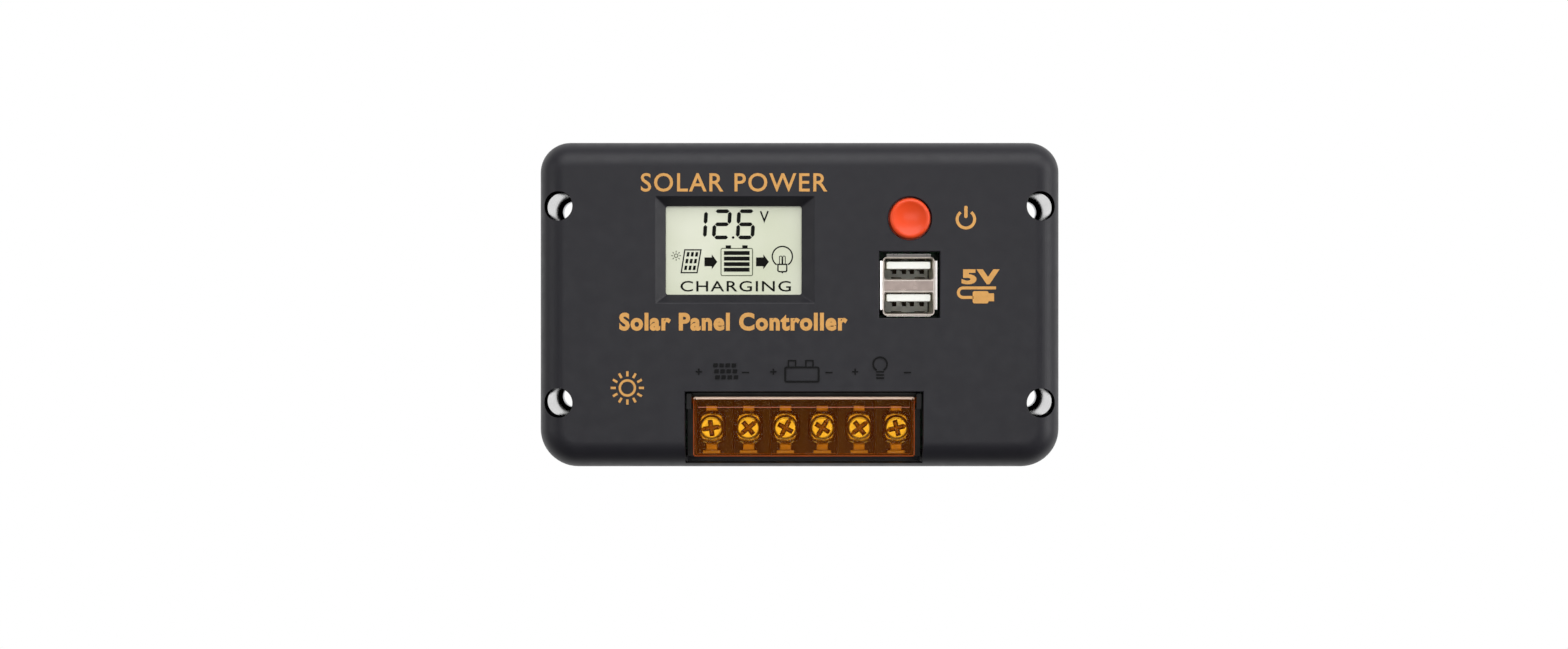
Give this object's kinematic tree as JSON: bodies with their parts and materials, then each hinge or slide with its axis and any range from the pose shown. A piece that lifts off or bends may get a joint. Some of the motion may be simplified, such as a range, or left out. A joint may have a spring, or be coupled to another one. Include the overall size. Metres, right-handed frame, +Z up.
{
  "type": "solar charge controller",
  "caption": "Rounded wall-mounted charge controller with a recessed display, push button, stacked USB sockets and screw terminals behind a hinged flap.",
  "frame": {"origin": "centre of the back mounting face", "axes": "+Y points into the wall, out of the back mounting face; the front looks towards -Y; +X is the long side, to the right seen from the front; +Z is up"},
  "size_m": [0.1324, 0.0358, 0.0826],
  "materials": {
    "case_plastic": "satin black moulded plastic with a fine grain",
    "back_plate_aluminium": "plain rolled aluminium",
    "steel": "zinc plated steel",
    "board_laminate": "green solder mask on laminate",
    "chip_plastic": "black moulded package",
    "display_glass": "pale reflective display",
    "white_plastic": "white moulded plastic",
    "button_plastic": "orange moulded plastic",
    "usb_nickel": "nickel plated sheet",
    "block_plastic": "black moulded plastic",
    "contact_brass": "plain brass strip",
    "clamp_nickel": "nickel plated steel",
    "screw_nickel": "nickel plated steel",
    "flap_amber": "clear amber plastic",
    "spreader_aluminium": "plain milled aluminium",
    "capacitor_sleeve": "dark blue sleeve",
    "ferrite": "dark ferrite",
    "copper": "enamelled copper wire",
    "fuse_plastic": "blue translucent plastic"
  },
  "bodies": {
    "case": {"front_shell": "case_plastic", "back_plate": "back_plate_aluminium", "case_screw_1": "steel", "board_screw_1": "steel", "case_screw_2": "steel", "board_screw_2": "steel", "case_screw_3": "steel", "board_screw_3": "steel", "case_screw_4": "steel", "board_screw_4": "steel", "main_board": "board_laminate", "display_board": "board_laminate", "board_header": "chip_plastic", "controller_chip": "chip_plastic", "usb_converter_chip": "chip_plastic", "switch_body": "chip_plastic", "power_transistor_1": "chip_plastic", "power_transistor_2": "chip_plastic", "power_transistor_3": "chip_plastic", "power_transistor_4": "chip_plastic", "display_glass": "display_glass", "display_holder": "white_plastic", "usb_insulator": "white_plastic", "usb_shell": "usb_nickel", "terminal_block": "block_plastic", "terminal_contact_1": "contact_brass", "terminal_contact_2": "contact_brass", "terminal_contact_3": "contact_brass", "terminal_contact_4": "contact_brass", "terminal_contact_5": "contact_brass", "terminal_contact_6": "contact_brass", "heat_spreader": "spreader_aluminium", "capacitor_1": "capacitor_sleeve", "capacitor_2": "capacitor_sleeve", "capacitor_3": "capacitor_sleeve", "inductor_core": "ferrite", "inductor_winding": "copper", "fuse": "fuse_plastic"},
    "button": {"button_cap": "button_plastic", "switch_plunger": "white_plastic"},
    "flap": {"terminal_flap": "flap_amber"},
    "clamp_1": {"wire_clamp_1": "clamp_nickel"},
    "screw_1": {"terminal_screw_1": "screw_nickel"},
    "clamp_2": {"wire_clamp_2": "clamp_nickel"},
    "screw_2": {"terminal_screw_2": "screw_nickel"},
    "clamp_3": {"wire_clamp_3": "clamp_nickel"},
    "screw_3": {"terminal_screw_3": "screw_nickel"},
    "clamp_4": {"wire_clamp_4": "clamp_nickel"},
    "screw_4": {"terminal_screw_4": "screw_nickel"},
    "clamp_5": {"wire_clamp_5": "clamp_nickel"},
    "screw_5": {"terminal_screw_5": "screw_nickel"},
    "clamp_6": {"wire_clamp_6": "clamp_nickel"},
    "screw_6": {"terminal_screw_6": "screw_nickel"}
  },
  "joints": [
    {"name": "power_button", "type": "slide", "parent": "case", "child": "button", "axis": [0, 1, 0], "range_m": [0, 0.0012], "stiffness_N_per_m": 400},
    {"name": "flap_hinge", "type": "hinge", "parent": "case", "child": "flap", "pos_m": [0.0011, -0.0322, -0.0242], "axis": [-1, 0, 0], "range_deg": [0, 100]},
    {"name": "clamp_lift_1", "type": "slide", "parent": "case", "child": "clamp_1", "axis": [0, -1, 0], "range_m": [0, 0.0021]},
    {"name": "screw_turn_1", "type": "hinge", "parent": "clamp_1", "child": "screw_1", "pos_m": [-0.02265, -0.0256, -0.0316], "axis": [0, -1, 0], "range_deg": [0, 1080.1]},
    {"name": "clamp_lift_2", "type": "slide", "parent": "case", "child": "clamp_2", "axis": [0, -1, 0], "range_m": [0, 0.0021]},
    {"name": "screw_turn_2", "type": "hinge", "parent": "clamp_2", "child": "screw_2", "pos_m": [-0.01315, -0.0256, -0.0316], "axis": [0, -1, 0], "range_deg": [0, 1080.1]},
    {"name": "clamp_lift_3", "type": "slide", "parent": "case", "child": "clamp_3", "axis": [0, -1, 0], "range_m": [0, 0.0021]},
    {"name": "screw_turn_3", "type": "hinge", "parent": "clamp_3", "child": "screw_3", "pos_m": [-0.00365, -0.0256, -0.0316], "axis": [0, -1, 0], "range_deg": [0, 1080.1]},
    {"name": "clamp_lift_4", "type": "slide", "parent": "case", "child": "clamp_4", "axis": [0, -1, 0], "range_m": [0, 0.0021]},
    {"name": "screw_turn_4", "type": "hinge", "parent": "clamp_4", "child": "screw_4", "pos_m": [0.00585, -0.0256, -0.0316], "axis": [0, -1, 0], "range_deg": [0, 1080.1]},
    {"name": "clamp_lift_5", "type": "slide", "parent": "case", "child": "clamp_5", "axis": [0, -1, 0], "range_m": [0, 0.0021]},
    {"name": "screw_turn_5", "type": "hinge", "parent": "clamp_5", "child": "screw_5", "pos_m": [0.01535, -0.0256, -0.0316], "axis": [0, -1, 0], "range_deg": [0, 1080.1]},
    {"name": "clamp_lift_6", "type": "slide", "parent": "case", "child": "clamp_6", "axis": [0, -1, 0], "range_m": [0, 0.0021]},
    {"name": "screw_turn_6", "type": "hinge", "parent": "clamp_6", "child": "screw_6", "pos_m": [0.02485, -0.0256, -0.0316], "axis": [0, -1, 0], "range_deg": [0, 1080.1]}
  ],
  "couplings": [
    {"joint": "screw_turn_1", "follows": "clamp_lift_1", "rad_per_m": 8976},
    {"joint": "screw_turn_2", "follows": "clamp_lift_2", "rad_per_m": 8976},
    {"joint": "screw_turn_3", "follows": "clamp_lift_3", "rad_per_m": 8976},
    {"joint": "screw_turn_4", "follows": "clamp_lift_4", "rad_per_m": 8976},
    {"joint": "screw_turn_5", "follows": "clamp_lift_5", "rad_per_m": 8976},
    {"joint": "screw_turn_6", "follows": "clamp_lift_6", "rad_per_m": 8976}
  ]
}
